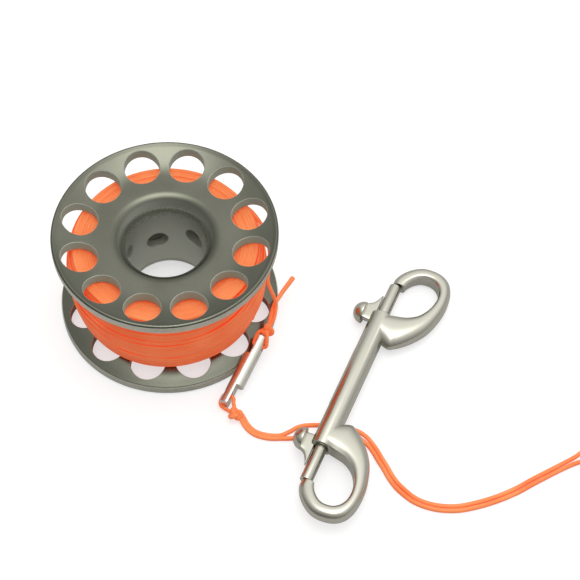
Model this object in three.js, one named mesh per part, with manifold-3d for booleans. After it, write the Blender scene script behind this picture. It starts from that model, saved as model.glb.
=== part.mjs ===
// Finger spool: a turned aluminium line spool, its wound line with a doubled
// leader, the small metal line link between them, and a double-ended bolt snap.
// Millimetres, +Z up. The snap's shaft lies along +Y and the spool's axis along
// +Z. The origin is at the bottom centre of the box round the spool and snap.

import * as THREE from "three";
import { mergeVertices } from "three/addons/utils/BufferGeometryUtils.js";
import Module from "manifold-3d";

const wasm = await Module();
wasm.setup();

// General clearances
const gap = 0.3; // between neighbouring pieces
const overrun = 2; // how far a cutting tool runs past the face it cuts

// Spool: one turned piece with two equal dished flanges
const flangeRadius = 35;
const spoolHeight = 39.1;
const boreRadius = 12.5;
const hubWall = 2.7;
const hubFillet = 2.3;
const flangeThickness = 4.1; // at the circle of holes
const outerSlopeShare = 0.2; // rise of the outer face for each unit of radius
const innerSlopeShare = 0.26; // the same for the face that the line lies against
const rimEdge = 0.6; // bevel between the rim's band and its land
const rimLandWidth = 0.8; // flat ring that the spool stands on
const lipBevel = 0.3;
const lipRise = 0.44; // how far the land stands above the dished face
const rimBandHeight = 2.6;
const rimInnerBevel = 0.5;
const flareWidth = 4.4; // rounded mouth of the bore
const flareDepth = 4.35;
const holeCount = 12;
const holePhaseDegrees = 10.2;
const holeCircleShare = 0.566; // of the way from the bore's mouth to the rim
const holeRadiusShare = 0.3204; // of the same width
const hubHoleCount = 6;
const hubHoleRadius = 3.5;
const hubHoleStagger = 2.3; // every other hole lies this far above mid height
const hubHolePhaseDegrees = 10.7;

// Line
const lineDiameter = 1.2;
const packInset = 3.7; // from the rim to the top of the wound pack
const packBulge = 2.8; // the pack is this much slimmer at its ends
const packEndGap = 0.78; // between the last turn and the flange
const windingPitch = 1.7;
const windingEndDegrees = 46.3; // where the last turn passes into the lead
const coreGap = 0.4; // between the inner layers and the outer layer of turns

// Line link: a polished rod with a flat and an eye at each end
const linkRadius = 2.5;
const linkChamfer = 0.4;
const linkTongueLength = 7;
const linkTongueThickness = 2.8;
const linkEyeRadius = 1.3;
const linkEyeInset = 3.2; // from the rod's end to the eye's centre

// Knots and the loops that hold them to the link. Each loop is a list of places
// past the link's end, towards the side of its flat and above its axis.
const knotRadius = 1.15;
const knotStrandRadius = 0.5;
const lineLoop = [
  [2.6, -1, 0.9],
  [1.3, -2.6, 0.6],
  [-0.2, -3.5, 0.2],
  [-1.8, -3.5, 0],
  [-2.95, -2.8, 0],
  [-3.2, -1.1, 0],
  [-3.1, 0.4, 0],
  [-2.3, 1.3, 0],
  [-0.8, 1.4, 0],
  [0.75, 1, 0.3],
  [1.7, 0.1, 0.6],
];
const leaderKnotLoop = [
  [1.4, 4.2, 0],
  [2.2, 2, 0],
  [1.6, -0.7, 0],
  [0.6, -2.8, 0],
  [-0.9, -3.6, 0],
  [-2.4, -3.3, 0],
  [-3.15, -2.3, 0],
  [-3.2, -0.9, 0],
  [-3.1, 0.6, 0],
  [-2.5, 1.8, 0],
  [-1, 3, 0],
];

// Double-ended bolt snap, in distances along the shaft from its middle
const shaftRadius = 3.6;
const shaftHalfLength = 26.4;
const shaftChamfer = 0.4;
const hookReach = 22.9; // from the end of the shaft to the end of the hook
const hookWidth = 18.1; // from the shaft's axis to the hook's outer side
const hookHeight = 7; // at the root; it falls away towards the tip
const boltRadius = 2;
const boltChamfer = 0.3;
const boltLength = 18.7;
const boltTravel = 11.5;
const boreWallHalf = 1.5; // half of the wall between the two blind bores
const webThickness = 2.2;
const webLength = 11;
const webNeckLength = 6.2;
const studRadius = 0.6;
const studLength = 1.2;
const knobRadius = 3.6;
const knobSeat = 5.8; // from the shaft's axis to the knob's flat face
const knobLead = 0.9; // from the end of the shaft back to the knob's centre
const springWireRadius = 0.2;
const springCoils = 11;

// Places of the pieces, from the spool's axis and the ground
const snapPlace = [66.3, -7.6];
const linkTop = [34.3, -5.4, 7];
const linkLow = [33, -30, 2.65];
const leaderCrossing = 14.7; // from the snap's middle to the leader below it

// Route of the lead, from the last turn over the pack and down to its knot
const leadPoints = [
  [14.7, 23.8, 32.3],
  [17.7, 22.4, 32.2],
  [20.5, 21.4, 31.7],
  [23.6, 19.9, 30.4],
  [26.6, 17.6, 28.2],
  [29.1, 14.4, 25.5],
  [30.7, 10.7, 22.8],
  [31.5, 7.2, 20.1],
  [32.7, 6.5, 17],
  [34.1, 6.2, 13.4],
  [35.2, 5.4, 10.9],
  [36, 3.3, 9.4],
  [36.4, 1.5, 8.7],
  [36.3, -0.1, 8.5],
];
const tailPoints = [
  [34.7, -0, 8.7],
  [34.2, 1.8, 9],
  [33.9, 3.8, 9.2],
  [34.1, 6.2, 9.2],
  [34.4, 9.2, 8.9],
  [34.8, 12.8, 8.3],
  [35.2, 16, 7.9],
  [35.5, 19, 7.4],
];

// Route of the leader: out from its knot to a bight and back beside itself
const leaderPoints = [
  [39.61, -31.3, 1.5],
  [41.59, -32.72, 0.75],
  [44.08, -33.75, 0.65],
  [46.38, -33.98, 0.65],
  [49.29, -33.42, 0.65],
  [52.1, -32.25, 0.65],
  [54.33, -30.08, 0.65],
  [56.06, -27.7, 0.65],
  [58.28, -26.03, 0.65],
  [61.9, -24.38, 0.65],
  [66.22, -22.83, 0.65],
  [70.33, -21.98, 0.65],
  [73.73, -21.72, 0.65],
  [76.63, -22.36, 0.65],
  [78.91, -23.59, 0.65],
  [81.49, -25.42, 0.65],
  [83.96, -27.55, 0.65],
  [86.34, -29.48, 0.65],
  [90, -32.63, 0.65],
  [93.57, -34.67, 0.65],
  [98.75, -36.44, 0.65],
  [104.46, -36.21, 0.65],
  [109.98, -34.38, 0.65],
  [114.51, -31.53, 0.65],
  [119.97, -27, 0.65],
  [124.94, -21.76, 0.65],
  [129, -16.41, 0.65],
  [134.69, -9.28, 0.65],
  [138.56, -4.33, 0.65],
  [140.6, -0.76, 0.65],
  [142.43, 1.82, 0.65],
  [145.34, 2.38, 0.65],
  [147.01, 0.16, 0.65],
  [145.98, -2.62, 0.65],
  [142.97, -3.69, 0.65],
  [139.84, -5.85, 0.65],
  [135.88, -10.2, 0.65],
  [130.19, -17.33, 0.65],
  [126.03, -22.78, 0.65],
  [120.96, -28.11, 0.65],
  [115.4, -32.74, 0.65],
  [110.66, -35.69, 0.65],
  [104.84, -37.61, 0.65],
  [98.53, -37.83, 0.65],
  [92.96, -36.06, 0.65],
  [89.18, -33.82, 0.65],
  [85.42, -30.57, 0.65],
  [83.05, -28.64, 0.65],
  [80.58, -26.51, 0.65],
  [78.1, -24.88, 0.65],
  [75.31, -24.04, 0.65],
  [71.5, -24.5, 0.65],
  [67.48, -26.05, 0.65],
  [63.46, -27.9, 0.65],
  [59.43, -30.04, 0.65],
  [56.21, -31.8, 0.65],
  [52.78, -33.56, 0.65],
  [49.67, -34.82, 0.65],
  [46.46, -35.38, 0.65],
  [43.56, -35.15, 0.65],
  [40.88, -33.91, 0.75],
  [38.9, -32.49, 1.5],
];

// Facets
const bodySegments = 48;
const holeSegments = 16;
const rodSegments = 16;
const flareSteps = 4;
const cordSides = 8;
const loopSteps = 24;
const knotSteps = 30;
const coilSteps = 24;
const coilSides = 6;
const springSteps = 6;
const springSides = 5;

const fullTurn = 2 * Math.PI;
const half = 0.5;
const radians = THREE.MathUtils.degToRad;

const material = (color, roughness, metalness) =>
  new THREE.MeshStandardMaterial({ color, roughness, metalness });
const anodised = material(0x6b6b5f, 0.45, 0.8);
const orangeLine = material(0xf46a35, 0.85, 0);
const steel = material(0xb5b6a8, 0.28, 1);
const polishedSteel = material(0xd8d8d0, 0.12, 1);
const springSteel = material(0x8c8c88, 0.4, 1);

// Shared vertices are merged so that the surface closes on itself.
function welded(geometry) {
  const copy = geometry.clone();
  for (const name of Object.keys(copy.attributes)) {
    if (name !== "position") copy.deleteAttribute(name);
  }
  return mergeVertices(copy);
}

function toSolid(geometry) {
  const { attributes, index } = welded(geometry);
  const vertProperties = new Float32Array(attributes.position.array);
  const triVerts = new Uint32Array(index.array);
  return new wasm.Manifold(new wasm.Mesh({ numProp: 3, vertProperties, triVerts }));
}

function toGeometry(solid) {
  const { vertProperties, triVerts } = solid.getMesh();
  const geometry = new THREE.BufferGeometry();
  geometry.setAttribute("position", new THREE.BufferAttribute(vertProperties, 3));
  geometry.setIndex(new THREE.BufferAttribute(triVerts, 1));
  return geometry;
}

function piece(name, geometry, look) {
  const mesh = new THREE.Mesh(welded(geometry), look);
  mesh.geometry.computeVertexNormals();
  mesh.name = name;
  return mesh;
}

// A closed outline of [radius, height] points, which runs up its outer side,
// turned round the Z axis.
function turned(outline, segments) {
  const closed = [...outline, outline[0]];
  const points = closed.map(([radius, height]) => new THREE.Vector2(radius, height));
  return new THREE.LatheGeometry(points, segments).rotateX(Math.PI * half);
}

// A rod along Z with bevelled ends, centred on the origin.
function rod(radius, length, bevel, segments) {
  const end = length * half;
  const points = [
    new THREE.Vector2(0, -end),
    new THREE.Vector2(radius - bevel, -end),
    new THREE.Vector2(radius, bevel - end),
    new THREE.Vector2(radius, end - bevel),
    new THREE.Vector2(radius - bevel, end),
    new THREE.Vector2(0, end),
  ];
  return new THREE.LatheGeometry(points, segments).rotateX(Math.PI * half);
}

const alongY = (geometry) => geometry.rotateX(-Math.PI * half);
const alongX = (geometry) => geometry.rotateY(Math.PI * half);

// A smooth round cord through the points of its route.
function cord(points, stepsPerPoint) {
  const path = new THREE.CatmullRomCurve3(points.map((p) => new THREE.Vector3(...p)));
  const section = new THREE.Shape();
  for (let side = 0; side < cordSides; side += 1) {
    const angle = (fullTurn * side) / cordSides;
    const x = Math.cos(angle) * lineDiameter * half;
    const y = Math.sin(angle) * lineDiameter * half;
    if (side === 0) section.moveTo(x, y);
    else section.lineTo(x, y);
  }
  const steps = Math.round((points.length - 1) * stepsPerPoint);
  return new THREE.ExtrudeGeometry(section, { steps, curveSegments: 1, extrudePath: path });
}

// A round tube through a list of close points, with flat ends.
function tube(points, radius, sides) {
  const positions = [];
  const indices = [];
  const normal = new THREE.Vector3(0, 0, 1);
  points.forEach((point, row) => {
    const before = points[Math.max(row - 1, 0)];
    const after = points[Math.min(row + 1, points.length - 1)];
    const along = after.clone().sub(before).normalize();
    const out = normal.clone().cross(along).normalize();
    const up = along.clone().cross(out);
    for (let side = 0; side < sides; side += 1) {
      const angle = (fullTurn * side) / sides;
      const place = point
        .clone()
        .addScaledVector(out, Math.cos(angle) * radius)
        .addScaledVector(up, Math.sin(angle) * radius);
      positions.push(...place.toArray());
      if (row > 0) {
        const next = (side + 1) % sides;
        const a = (row - 1) * sides + side;
        const b = (row - 1) * sides + next;
        const c = row * sides + side;
        const d = row * sides + next;
        indices.push(a, b, c, b, d, c);
      }
    }
  });
  const last = (points.length - 1) * sides;
  for (let side = 1; side < sides - 1; side += 1) {
    indices.push(0, side + 1, side);
    indices.push(last, last + side, last + side + 1);
  }
  const geometry = new THREE.BufferGeometry();
  geometry.setAttribute("position", new THREE.Float32BufferAttribute(positions, 3));
  geometry.setIndex(indices);
  return geometry;
}

// Least distance between the strands of one tube, measured between its points.
function leastSelfGap(points, radius, stepsApart) {
  let least = Infinity;
  for (let i = 0; i < points.length; i += 1) {
    for (let j = i + stepsApart; j < points.length; j += 1) {
      least = Math.min(least, points[i].distanceTo(points[j]));
    }
  }
  return least - 2 * radius;
}

// Spool body
const middle = spoolHeight * half;
const hubRadius = boreRadius + hubWall;
const crestRadius = boreRadius + flareWidth;
const faceWidth = flangeRadius - crestRadius;
const holeRadius = faceWidth * holeRadiusShare;
const holeCircleRadius = crestRadius + faceWidth * holeCircleShare;
const lipFoot = flangeRadius - rimEdge - rimLandWidth - lipBevel;
const outerFace = (r) => spoolHeight - lipRise - outerSlopeShare * (lipFoot - r);
const innerFace = (r) =>
  outerFace(holeCircleRadius) - flangeThickness + innerSlopeShare * (r - holeCircleRadius);

function quarter(centre, radii, startTurns, steps) {
  const points = [];
  for (let i = 0; i <= steps; i += 1) {
    const angle = fullTurn * (startTurns - (i / steps) / 4);
    const x = centre[0] + radii[0] * Math.cos(angle);
    const y = centre[1] + radii[1] * Math.sin(angle);
    points.push([x, y]);
  }
  return points;
}

function spoolOutline() {
  const throat = outerFace(crestRadius) - flareDepth;
  const filletRadius = hubRadius + hubFillet;
  const filletTop = innerFace(filletRadius);
  const innerEdge = flangeRadius - rimInnerBevel;
  const upper = [
    ...quarter([crestRadius, throat], [flareWidth, flareDepth], half, flareSteps),
    [lipFoot, outerFace(lipFoot)],
    [lipFoot + lipBevel, spoolHeight],
    [flangeRadius - rimEdge, spoolHeight],
    [flangeRadius, spoolHeight - rimEdge],
    [flangeRadius, spoolHeight - rimEdge - rimBandHeight],
    [innerEdge, innerFace(innerEdge)],
    [filletRadius, filletTop],
    [hubRadius + hubFillet * (1 - Math.SQRT1_2), filletTop - hubFillet * (1 - Math.SQRT1_2)],
    [hubRadius, filletTop - hubFillet],
  ];
  const lower = upper.map(([r, z]) => [r, spoolHeight - z]).reverse();
  return [...upper, ...lower].reverse();
}

function spoolBody() {
  let body = toSolid(turned(spoolOutline(), bodySegments));
  for (let i = 0; i < holeCount; i += 1) {
    const angle = radians(holePhaseDegrees) + (fullTurn * i) / holeCount;
    const drill = rod(holeRadius, spoolHeight + 2 * overrun, 0, holeSegments).translate(
      Math.cos(angle) * holeCircleRadius,
      Math.sin(angle) * holeCircleRadius,
      middle,
    );
    body = body.subtract(toSolid(drill));
  }
  for (let i = 0; i < hubHoleCount; i += 1) {
    const angle = radians(hubHolePhaseDegrees) + (fullTurn * i) / hubHoleCount;
    const side = i % 2 === 0 ? -1 : 1;
    const depth = hubWall + 2 * overrun;
    const drill = alongX(rod(hubHoleRadius, depth, 0, holeSegments))
      .translate(boreRadius + hubWall * half, 0, middle + side * hubHoleStagger)
      .rotateZ(angle);
    body = body.subtract(toSolid(drill));
  }
  return piece("spool_body", toGeometry(body), anodised);
}

// Wound line: the inner layers as one core, and the outer layer as a real winding
const packMidRadius = flangeRadius - packInset;
const packEndRadius = packMidRadius - packBulge;
const packHalf = innerFace(packEndRadius) - middle - packEndGap;
const windingHalf = packHalf - lineDiameter * half;
const windingTurns = Math.round((2 * windingHalf) / windingPitch);
const packRadius = (z) => packMidRadius - packBulge * (z / packHalf) ** 2;

function lineCore() {
  const inner = hubRadius + gap;
  const innerRise = innerFace(hubRadius + hubFillet) - hubFillet - gap - middle;
  const steps = 4;
  const outside = [];
  for (let i = 0; i <= steps; i += 1) {
    const z = packHalf * (i / steps);
    outside.push([packRadius(z) - lineDiameter - coreGap, z]);
  }
  const rim = outside[steps][0];
  const shoulder = hubRadius + hubFillet + gap;
  const upper = [
    ...outside,
    [rim, innerFace(rim) - gap - middle],
    [shoulder, innerFace(shoulder) - gap - middle],
    [inner, innerRise],
  ];
  const lower = upper
    .slice(1)
    .map(([r, z]) => [r, -z])
    .reverse();
  const outline = [...lower, ...upper].map(([r, z]) => [r, middle + z]);
  return piece("line_core", turned(outline, bodySegments), orangeLine);
}

function windingPoints() {
  const points = [];
  const count = windingTurns * coilSteps;
  for (let i = 0; i <= count; i += 1) {
    const share = i / count;
    const angle = radians(windingEndDegrees) + fullTurn * windingTurns * (1 - share);
    const z = windingHalf * (2 * share - 1);
    const r = packRadius(z) - lineDiameter * half;
    points.push(new THREE.Vector3(r * Math.cos(angle), r * Math.sin(angle), middle + z));
  }
  // The ends run straight for one diameter.
  for (const [end, before] of [[0, 1], [count, count - 1]]) {
    const along = points[end].clone().sub(points[before]).normalize();
    points[end].copy(points[before]).addScaledVector(along, lineDiameter);
  }
  return points;
}

function lineWinding() {
  const points = windingPoints();
  const radius = lineDiameter * half;
  const least = leastSelfGap(points, radius, Math.round(coilSteps * half));
  console.log(`line_winding: ${windingTurns} turns, least gap to itself ${least.toFixed(2)} mm`);
  return piece("line_winding", tube(points, radius, coilSides), orangeLine);
}

// Line link, with the loops and knots of the line and the leader at its ends
const linkAxis = new THREE.Vector3(...linkTop).sub(new THREE.Vector3(...linkLow));
const linkHalf = linkAxis.length() * half;
const linkGroup = new THREE.Group();
linkAxis.normalize();
const linkLeft = new THREE.Vector3(-linkAxis.y, linkAxis.x, 0).normalize();
const linkUp = linkAxis.clone().cross(linkLeft);
linkGroup.quaternion.setFromRotationMatrix(
  new THREE.Matrix4().makeBasis(linkAxis, linkLeft, linkUp),
);
linkGroup.position
  .set(...linkTop)
  .add(new THREE.Vector3(...linkLow))
  .multiplyScalar(half);

function lineLink() {
  let body = toSolid(alongX(rod(linkRadius, 2 * linkHalf, linkChamfer, rodSegments)));
  for (const end of [1, -1]) {
    const cutDepth = 2 * linkRadius - linkTongueThickness;
    const cutLength = linkTongueLength + overrun;
    const block = new THREE.BoxGeometry(cutLength, cutDepth + overrun, 2 * linkRadius + overrun);
    block.translate(
      end * (linkHalf - linkTongueLength + cutLength * half),
      end * (linkRadius - cutDepth + (cutDepth + overrun) * half),
      0,
    );
    const drillLength = 2 * linkRadius + overrun;
    const eye = alongY(rod(linkEyeRadius, drillLength, 0, rodSegments));
    eye.translate(end * (linkHalf - linkEyeInset), 0, 0);
    body = body.subtract(toSolid(block)).subtract(toSolid(eye));
  }
  return piece("line_link", toGeometry(body), polishedSteel);
}

// A loop of line through one eye and round the end of the link, and its knot.
function loopAndKnot(name, end, places) {
  const points = places.map(
    ([past, aside, rise]) => new THREE.Vector3(end * (linkHalf + past), end * aside, rise),
  );
  const path = new THREE.CatmullRomCurve3(points, true);
  const loop = new THREE.TubeGeometry(path, loopSteps, lineDiameter * half, cordSides, true);
  const wraps = new THREE.TorusKnotGeometry(knotRadius, knotStrandRadius, knotSteps, coilSides);
  const heart = new THREE.IcosahedronGeometry(knotRadius + knotStrandRadius * half, 2);
  let body = toSolid(loop);
  for (const shape of [wraps, heart]) {
    shape.rotateX(Math.PI * half).rotateZ(radians(windingEndDegrees));
    shape.translate(...points[0].toArray());
    body = body.add(toSolid(shape));
  }
  return piece(name, toGeometry(body), orangeLine);
}

linkGroup.add(
  lineLink(),
  loopAndKnot("line_knot", 1, lineLoop),
  loopAndKnot("leader_knot", -1, leaderKnotLoop),
);

// Bolt snap. Its frame has the shaft along Y and the hooks towards +X.
// Outlines run from the root of the hook to its tip: first the distance past
// the end of the shaft as a share of the hook's reach, then the distance from
// the shaft's axis as a share of the hook's width.
const innerOutlineShares = [
  [-0.044, 0],
  [0, 0.21],
  [0.022, 0.331],
  [0.053, 0.453],
  [0.124, 0.591],
  [0.212, 0.68],
  [0.319, 0.746],
  [0.434, 0.785],
  [0.549, 0.796],
  [0.655, 0.768],
  [0.739, 0.702],
  [0.792, 0.602],
  [0.805, 0.486],
  [0.788, 0.376],
  [0.73, 0.276],
  [0.655, 0.204],
  [0.597, 0.171],
  [0.558, 0.16],
];
const outerOutlineShares = [
  [-0.363, 0],
  [-0.473, 0.298],
  [-0.442, 0.42],
  [-0.345, 0.569],
  [-0.199, 0.729],
  [-0.018, 0.867],
  [0.186, 0.95],
  [0.381, 0.994],
  [0.575, 0.994],
  [0.743, 0.956],
  [0.881, 0.867],
  [0.969, 0.713],
  [1, 0.514],
  [0.982, 0.32],
  [0.907, 0.155],
  [0.796, 0.022],
  [0.664, -0.061],
  [0.558, -0.066],
];
const heightShares = [
  1, 1, 0.99, 0.98, 0.96, 0.94, 0.92, 0.9, 0.88, 0.86, 0.84, 0.82, 0.8, 0.77, 0.74, 0.7, 0.66,
  0.63,
];
// Section of the hook: nearly flat towards the eye and round outside.
const sectionShares = [
  [-1, 0.58],
  [-0.72, 0.93],
  [-0.25, 1],
  [0.25, 0.96],
  [0.66, 0.74],
  [0.91, 0.41],
  [1, 0],
  [0.91, -0.41],
  [0.66, -0.74],
  [0.25, -0.96],
  [-0.25, -1],
  [-0.72, -0.93],
  [-1, -0.58],
];

function hook(end) {
  const positions = [];
  const indices = [];
  const sides = sectionShares.length;
  const rows = innerOutlineShares.length;
  for (let row = 0; row < rows; row += 1) {
    const [innerAlong, innerAside] = innerOutlineShares[row];
    const [outerAlong, outerAside] = outerOutlineShares[row];
    sectionShares.forEach(([across, up], side) => {
      const share = (1 + across) * half;
      const along = innerAlong + (outerAlong - innerAlong) * share;
      const aside = innerAside + (outerAside - innerAside) * share;
      const y = end * (shaftHalfLength + along * hookReach);
      positions.push(aside * hookWidth, y, up * heightShares[row] * hookHeight * half);
      if (row > 0) {
        const next = (side + 1) % sides;
        const a = (row - 1) * sides + side;
        const b = (row - 1) * sides + next;
        const c = row * sides + side;
        const d = row * sides + next;
        indices.push(a, b, c, b, d, c);
      }
    });
  }
  const last = (rows - 1) * sides;
  for (let side = 1; side < sides - 1; side += 1) {
    indices.push(0, side + 1, side);
    indices.push(last, last + side, last + side + 1);
  }
  if (end < 0) indices.reverse();
  const geometry = new THREE.BufferGeometry();
  geometry.setAttribute("position", new THREE.Float32BufferAttribute(positions, 3));
  geometry.setIndex(indices);
  return geometry;
}

const boltBoreRadius = boltRadius + gap;
const hookTip = shaftHalfLength + hookReach * innerOutlineShares.at(-1)[0];
const boltTip = hookTip - gap;
const boltTail = boltTip - boltLength;
const knobCentre = shaftHalfLength - knobLead;
const webBack = knobCentre - webNeckLength * half + knobLead * half;

function snapBody() {
  const shaft = alongY(rod(shaftRadius, 2 * shaftHalfLength, shaftChamfer, rodSegments));
  let body = toSolid(shaft).add(toSolid(hook(1))).add(toSolid(hook(-1)));
  for (const end of [1, -1]) {
    const boreLength = shaftHalfLength - boreWallHalf + gap;
    const drill = alongY(rod(boltBoreRadius, boreLength, 0, rodSegments));
    drill.translate(0, end * (boreWallHalf + boreLength * half), 0);
    const slotStart = webBack - boltTravel - gap;
    const slotLength = shaftHalfLength - slotStart + overrun;
    const slot = new THREE.BoxGeometry(shaftRadius + overrun, slotLength, webThickness + 2 * gap);
    slot.translate(-(shaftRadius + overrun) * half, end * (slotStart + slotLength * half), 0);
    body = body.subtract(toSolid(drill)).subtract(toSolid(slot));
  }
  return piece("snap_body", toGeometry(body), steel);
}

function bolt(name, end) {
  const shank = alongY(rod(boltRadius, boltLength, boltChamfer, rodSegments));
  shank.translate(0, end * (boltTail + boltLength * half), 0);
  const holeDepth = studLength + gap;
  const hole = alongX(rod(studRadius + gap, holeDepth + overrun, 0, holeSegments));
  hole.translate(-boltRadius - (holeDepth + overrun) * half + holeDepth, end * knobCentre, 0);
  return piece(name, toGeometry(toSolid(shank).subtract(toSolid(hole))), steel);
}

// The knob's web as shares of its length along the bolt and of the distance
// from the bolt's side to the knob's flat face.
const webOutlineShares = [
  [0, 0],
  [1, 0],
  [0.98, 0.07],
  [0.81, 0.28],
  [0.66, 0.58],
  [0.58, 1],
  [0.03, 1],
];

function thumbKnob(name, end) {
  const boltSide = boltRadius + gap;
  const webDepth = knobSeat - boltSide;
  const outline = webOutlineShares.map(
    ([along, aside]) => new THREE.Vector2(-boltSide - aside * webDepth, webBack + along * webLength),
  );
  const web = new THREE.ExtrudeGeometry(new THREE.Shape(outline), {
    depth: webThickness,
    bevelEnabled: false,
  });
  web.translate(0, 0, -webThickness * half);
  const domePoints = [new THREE.Vector2(0, 0)];
  const domeSteps = 5;
  for (let i = 0; i <= domeSteps; i += 1) {
    const angle = ((i / domeSteps) * fullTurn) / 4;
    domePoints.push(new THREE.Vector2(knobRadius * Math.cos(angle), knobRadius * Math.sin(angle)));
  }
  const dome = new THREE.LatheGeometry(domePoints, rodSegments).rotateZ(Math.PI * half);
  dome.translate(-knobSeat, knobCentre, 0);
  const studReach = studLength + gap + webThickness;
  const stud = alongX(rod(studRadius, studReach, 0, holeSegments));
  stud.translate(-boltRadius + studLength - studReach * half, knobCentre, 0);
  const solid = toSolid(web).add(toSolid(dome)).add(toSolid(stud));
  const geometry = toGeometry(solid);
  if (end < 0) {
    geometry.scale(1, -1, 1);
    geometry.index.array.reverse();
  }
  return piece(name, geometry, steel);
}

function spring(name, end) {
  const meanRadius = boltRadius - springWireRadius;
  const start = boreWallHalf + gap + springWireRadius;
  const finish = boltTail - gap - springWireRadius;
  const count = springCoils * springSteps;
  const points = [];
  for (let i = 0; i <= count; i += 1) {
    const angle = (fullTurn * i) / springSteps;
    const z = start + (finish - start) * (i / count);
    points.push(new THREE.Vector3(meanRadius * Math.cos(angle), meanRadius * Math.sin(angle), z));
  }
  const wire = alongY(tube(points, springWireRadius, springSides));
  if (end < 0) wire.rotateZ(Math.PI);
  return piece(name, wire, springSteel);
}

// The lower half of the snap lies on the leader and its upper half on the ground.
const snapTilt = Math.asin((lineDiameter + gap) / (shaftHalfLength + leaderCrossing));
const snapRise =
  shaftRadius * Math.cos(snapTilt) + shaftHalfLength * Math.sin(snapTilt);
const snapGroup = new THREE.Group();
snapGroup.position.set(...snapPlace, snapRise);
snapGroup.rotation.x = -snapTilt;
snapGroup.add(
  snapBody(),
  bolt("upper_bolt", 1),
  bolt("lower_bolt", -1),
  thumbKnob("upper_thumb_knob", 1),
  thumbKnob("lower_thumb_knob", -1),
  spring("upper_spring", 1),
  spring("lower_spring", -1),
);

// Assembly
const standing = new THREE.Group();
standing.add(spoolBody(), snapGroup);
standing.updateMatrixWorld(true);
const box = new THREE.Box3().setFromObject(standing, true);
const centre = box.getCenter(new THREE.Vector3());

const fingerSpool = new THREE.Group();
fingerSpool.name = "finger_spool";
fingerSpool.position.set(-centre.x, -centre.y, -box.min.z);
const cordStep = 1;
const leaderStep = 0.95;
fingerSpool.add(
  ...standing.children.slice(),
  lineCore(),
  lineWinding(),
  piece("line_lead", cord(leadPoints, cordStep), orangeLine),
  piece("line_tail", cord(tailPoints, cordStep), orangeLine),
  linkGroup,
  piece("leader_loop", cord(leaderPoints, leaderStep), orangeLine),
);

export default fingerSpool;
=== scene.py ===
import math

import bmesh
import bpy
import numpy as np
from mathutils import Matrix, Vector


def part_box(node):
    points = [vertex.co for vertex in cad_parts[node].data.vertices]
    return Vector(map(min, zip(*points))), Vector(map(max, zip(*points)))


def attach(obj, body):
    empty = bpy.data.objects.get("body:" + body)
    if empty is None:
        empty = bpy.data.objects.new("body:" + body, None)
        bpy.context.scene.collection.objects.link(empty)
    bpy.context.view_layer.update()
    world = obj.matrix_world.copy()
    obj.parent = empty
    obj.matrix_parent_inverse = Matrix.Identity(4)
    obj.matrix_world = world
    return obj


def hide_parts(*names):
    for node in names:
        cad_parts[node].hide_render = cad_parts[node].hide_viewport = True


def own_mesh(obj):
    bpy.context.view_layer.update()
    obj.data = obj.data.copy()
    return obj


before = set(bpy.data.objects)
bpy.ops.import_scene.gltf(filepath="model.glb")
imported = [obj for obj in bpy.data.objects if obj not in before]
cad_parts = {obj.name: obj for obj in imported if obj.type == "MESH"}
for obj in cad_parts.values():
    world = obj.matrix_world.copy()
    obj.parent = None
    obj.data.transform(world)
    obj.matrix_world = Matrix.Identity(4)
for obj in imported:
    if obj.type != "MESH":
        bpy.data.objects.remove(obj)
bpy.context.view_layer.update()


# Camera
# One long lens looks down at the spool and the snap from the front. Its place
# is counted from the point where the spool's axis meets the ground.
MM = 0.001
spool_low, spool_high = (np.array(corner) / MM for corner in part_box("spool_body"))
spool_axis = np.array([*(spool_low + spool_high)[:2] / 2, 0.0])
camera_place = spool_axis + [147.2, -269.2, 472.5]
camera_heading, camera_pitch, camera_roll = -0.3736, 0.991, 0.022  # radians
lens_pixels, frame_pixels, sensor_width = 1727.9, 580, 36.0  # focal length in pixels, sensor in mm

camera = bpy.data.objects.new("camera", bpy.data.cameras.new("camera"))
camera.data.sensor_width = sensor_width
camera.data.lens = lens_pixels / frame_pixels * sensor_width
camera.matrix_world = (
    Matrix.Translation(camera_place * MM) @ Matrix.Rotation(-camera_heading, 4, "Z")
    @ Matrix.Rotation(math.pi / 2 - camera_pitch, 4, "X") @ Matrix.Rotation(camera_roll, 4, "Z"))
bpy.context.scene.collection.objects.link(camera)
bpy.context.scene.camera = camera


# Orange line
# A fine braided polyester line, 1.2 mm thick. Eight strands of filament cross
# each other in small diamonds, which makes it matt and a little furry.
def linear(hex_colour):
    """An sRGB hex colour as linear red, green, blue and alpha."""
    channels = np.array([int(hex_colour[i:i + 2], 16) for i in (1, 3, 5)]) / 255
    curve = np.where(channels <= 0.04045, channels / 12.92, ((channels + 0.055) / 1.055) ** 2.4)
    return (*curve.tolist(), 1.0)


def add_node(tree, kind, links=(), **settings):
    """Adds a node with its settings, and sets or links its inputs."""
    made = tree.nodes.new("ShaderNode" + kind)
    for name, value in settings.items():
        setattr(made, name, value)
    for name, value in dict(links).items():
        if isinstance(value, bpy.types.NodeSocket):
            tree.links.new(value, made.inputs[name])
        else:
            made.inputs[name].default_value = value
    return made.outputs


def maths(tree, operation, *inputs):
    """The output of a Math node, with its inputs in order."""
    return add_node(tree, "Math", enumerate(inputs), operation=operation)[0]


def fade(tree, value, start, end, low=0.0, high=1.0):
    """The output of a Map Range node: low at the start and high at the end."""
    return add_node(tree, "MapRange", {
        "Value": value, "From Min": start, "From Max": end, "To Min": low, "To Max": high})["Result"]


def noise(tree, place, scale, detail, roughness=0.5):
    """The output of a Noise node with a scale per metre."""
    return add_node(tree, "TexNoise", {
        "Vector": place, "Scale": scale, "Detail": detail, "Roughness": roughness})["Fac"]


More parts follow.
